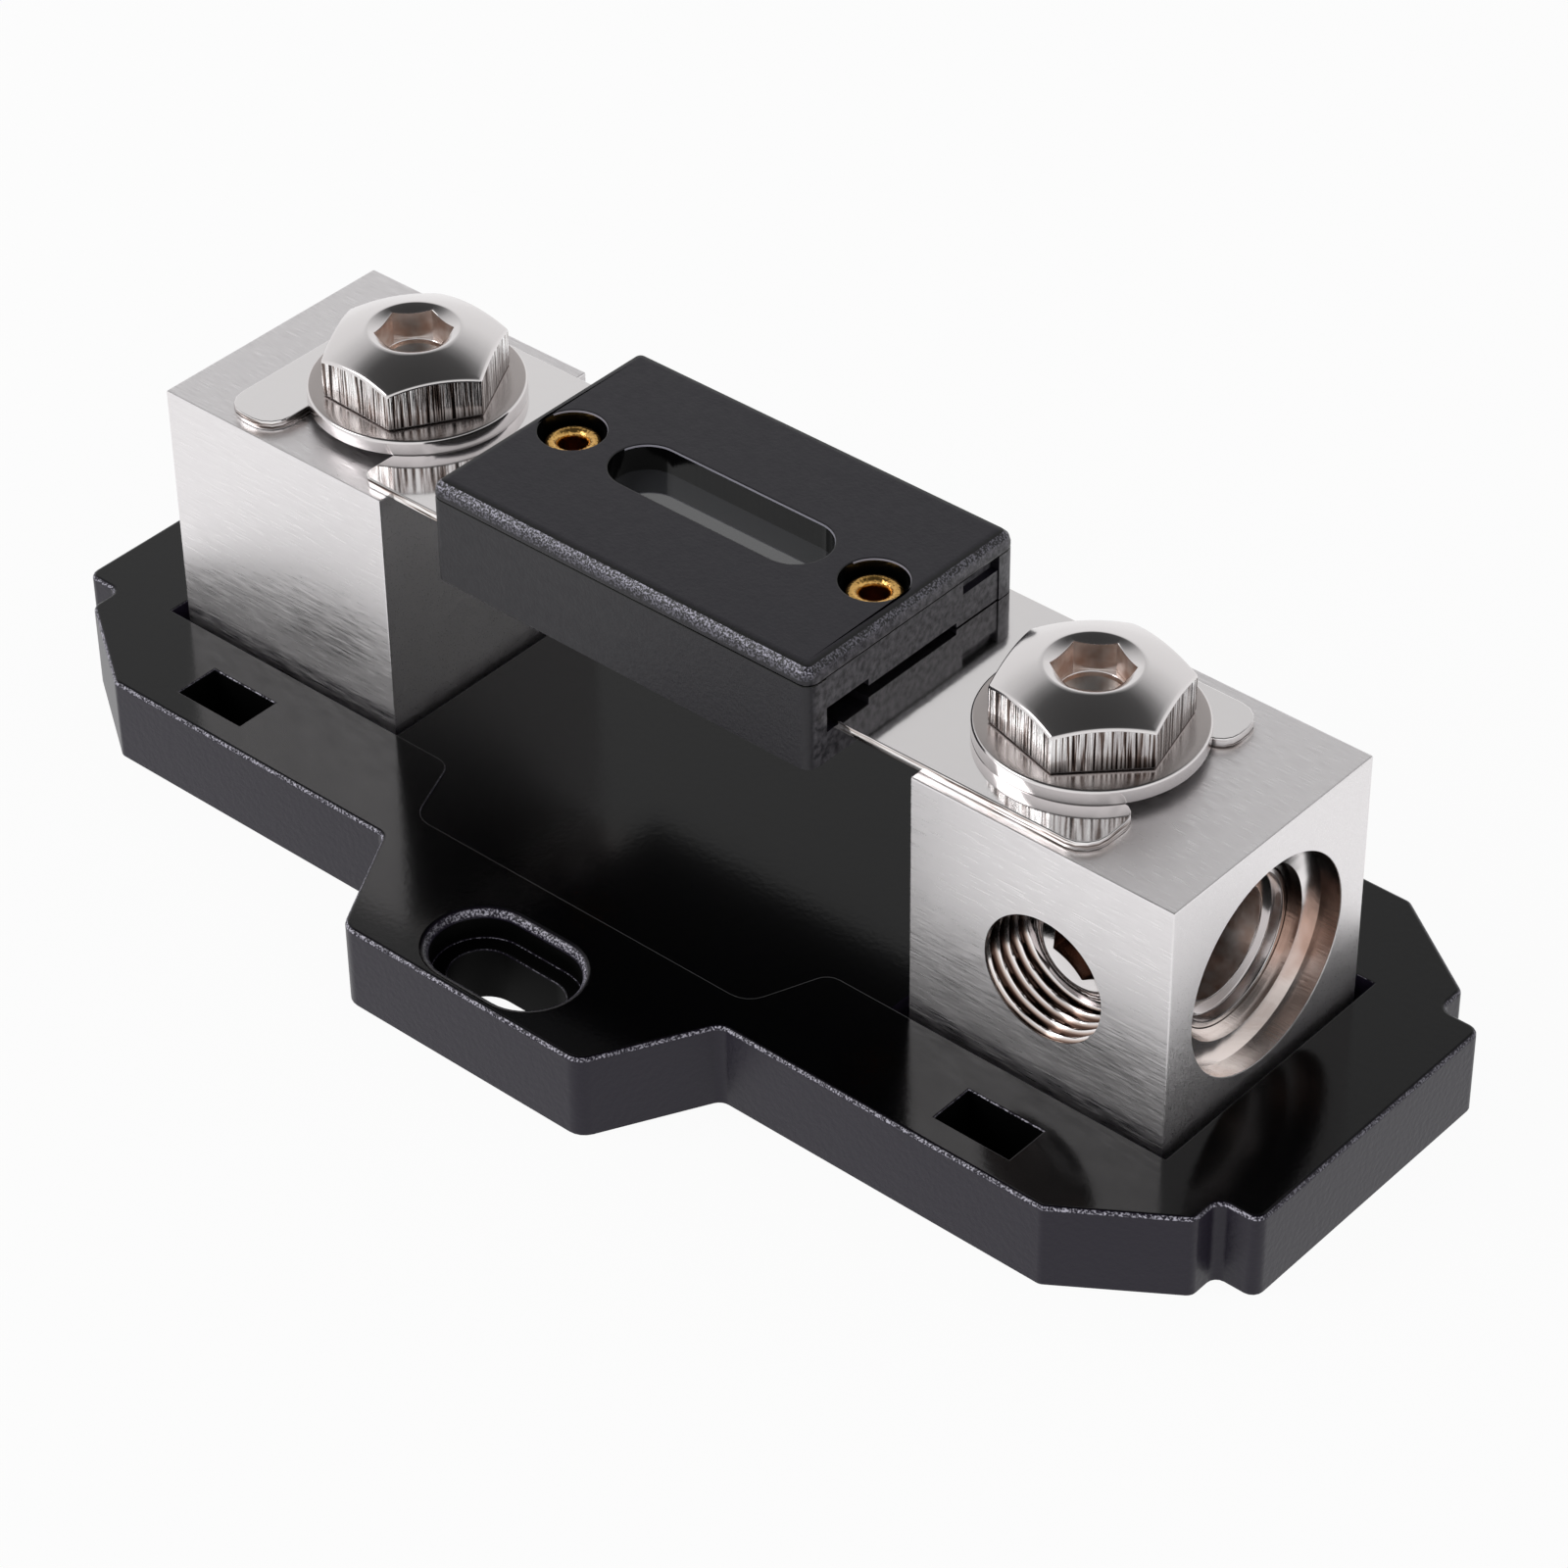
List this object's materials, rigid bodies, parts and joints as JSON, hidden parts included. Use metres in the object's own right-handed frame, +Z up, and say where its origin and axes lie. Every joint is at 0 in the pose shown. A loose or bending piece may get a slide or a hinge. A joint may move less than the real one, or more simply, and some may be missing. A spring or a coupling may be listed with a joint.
{
  "type": "strip fuse holder",
  "caption": "Holder for a bolt-down strip fuse: black ribbed base, two plated terminal blocks with set screw cable entries, and the fuse clamped by hexagon bolts.",
  "frame": {"origin": "middle of the underside of the base", "axes": "+X along the fuse towards the block with its set screw hole on the -Y side, +Z up out of the base"},
  "size_m": [0.1108, 0.0592, 0.0331],
  "materials": {
    "base_plastic": "fine matt moulded surface",
    "plated_block": "nickel plated, faintly brushed",
    "plated_steel": "nickel plated",
    "plated_strip": "bright nickel plate",
    "case_plastic": "satin moulded surface",
    "clear_window": "clear, glossy",
    "rivet_brass": "bare rolled brass",
    "zinc_steel": "zinc plated"
  },
  "bodies": {
    "holder": {"base": "base_plastic", "terminal_block_left": "plated_block", "terminal_block_right": "plated_block", "cable_reducer_left": "plated_block", "cable_reducer_right": "plated_block", "fuse_strip": "plated_strip", "fuse_tray": "case_plastic", "fuse_lid": "case_plastic", "fuse_window": "clear_window", "fuse_rivet_left": "rivet_brass", "fuse_rivet_right": "rivet_brass", "block_screw_left_outer": "zinc_steel", "block_screw_left_inner": "zinc_steel", "block_screw_right_outer": "zinc_steel", "block_screw_right_inner": "zinc_steel"},
    "washer_left": {"bolt_washer_left": "plated_steel"},
    "washer_right": {"bolt_washer_right": "plated_steel"},
    "bolt_left": {"fuse_bolt_left": "plated_steel"},
    "bolt_right": {"fuse_bolt_right": "plated_steel"},
    "set_screw_left": {"cable_set_screw_left": "plated_steel"},
    "set_screw_right": {"cable_set_screw_right": "plated_steel"}
  },
  "joints": [
    {"name": "bolt_lift_left", "type": "slide", "parent": "holder", "child": "washer_left", "axis": [0, 0, 1], "range_m": [0, 0.0037]},
    {"name": "bolt_turn_left", "type": "hinge", "parent": "washer_left", "child": "bolt_left", "pos_m": [-0.031, 0, 0.0286], "axis": [0, 0, 1], "range_deg": [0, 1080]},
    {"name": "bolt_lift_right", "type": "slide", "parent": "holder", "child": "washer_right", "axis": [0, 0, 1], "range_m": [0, 0.0037]},
    {"name": "bolt_turn_right", "type": "hinge", "parent": "washer_right", "child": "bolt_right", "pos_m": [0.031, 0, 0.0286], "axis": [0, 0, 1], "range_deg": [0, 1080]},
    {"name": "set_screw_out_left", "type": "slide", "parent": "holder", "child": "set_screw_left", "axis": [0, 1, 0], "range_m": [-0.0028, 0.0037]},
    {"name": "set_screw_out_right", "type": "slide", "parent": "holder", "child": "set_screw_right", "axis": [0, -1, 0], "range_m": [-0.0028, 0.0037]}
  ],
  "couplings": [
    {"joint": "bolt_turn_left", "follows": "bolt_lift_left", "rad_per_m": 5026.5},
    {"joint": "bolt_turn_right", "follows": "bolt_lift_right", "rad_per_m": 5026.5}
  ]
}
